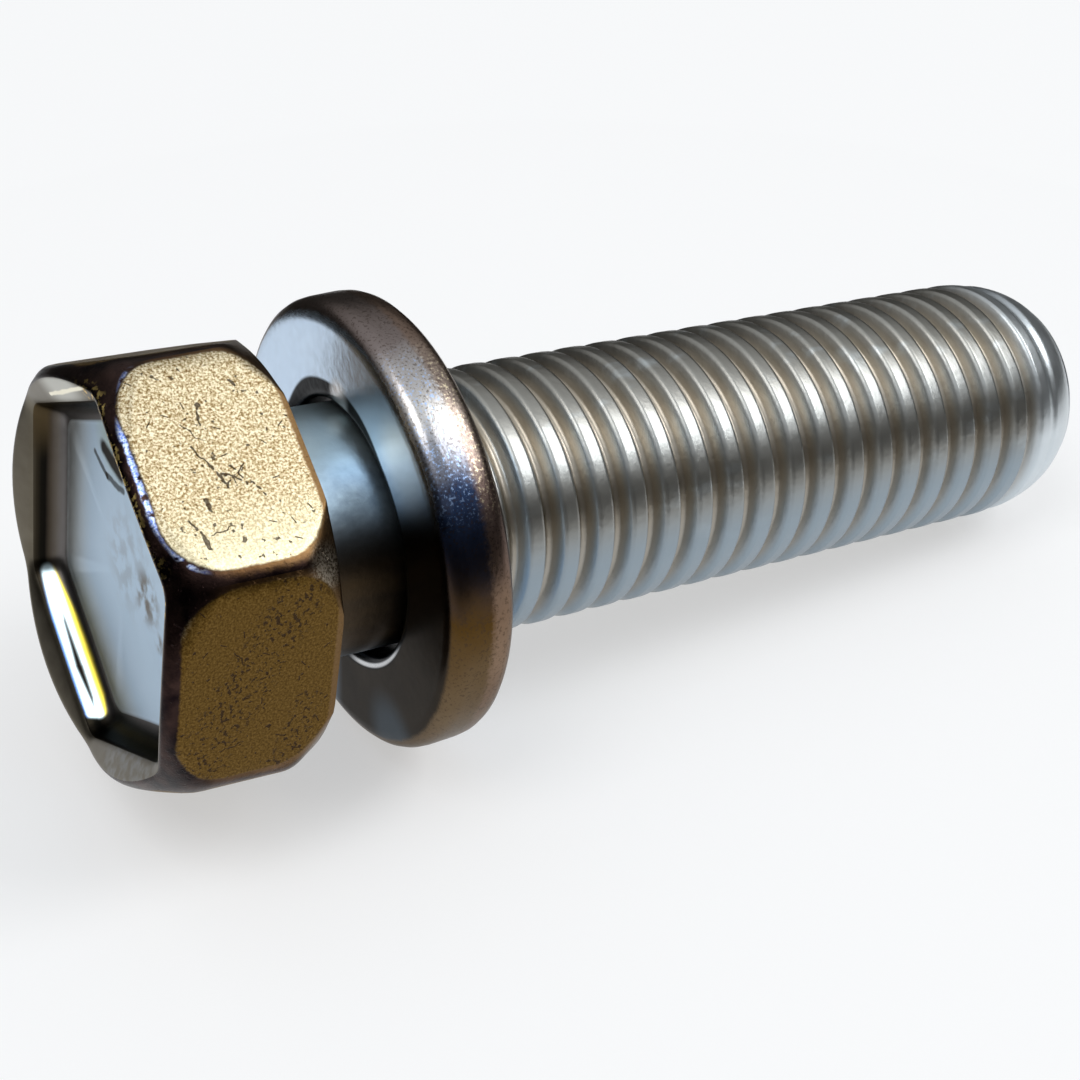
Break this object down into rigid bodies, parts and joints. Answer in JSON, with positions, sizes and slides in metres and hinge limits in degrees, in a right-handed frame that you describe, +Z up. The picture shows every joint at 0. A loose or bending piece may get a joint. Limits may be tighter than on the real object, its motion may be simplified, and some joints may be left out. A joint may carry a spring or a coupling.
{
  "type": "hexagon head bolt with captive washer",
  "caption": "Indented hexagon head bolt with a reduced neck, a threaded shank and a captive plain washer that slides along the neck",
  "frame": {"origin": "middle of the outline on the floor, with the bolt lying on its washer's rim and the tip of its thread", "axes": "+X from the head to the tip, +Z up; the bolt's axis lies in the XZ plane and slopes down towards the tip"},
  "size_m": [0.0514, 0.0196, 0.0207],
  "materials": {
    "hex_bolt": "yellow chromated zinc on steel, rubbed to grey on the thread",
    "plain_washer": "bright zinc on steel, slightly tarnished"
  },
  "bodies": {
    "bolt": {"hex_bolt": "hex_bolt"},
    "washer": {"plain_washer": "plain_washer"}
  },
  "joints": [
    {"name": "washer_slide", "type": "slide", "parent": "bolt", "child": "washer", "axis": [-0.9931, 0, 0.1171], "range_m": [0, 0.0035]}
  ]
}
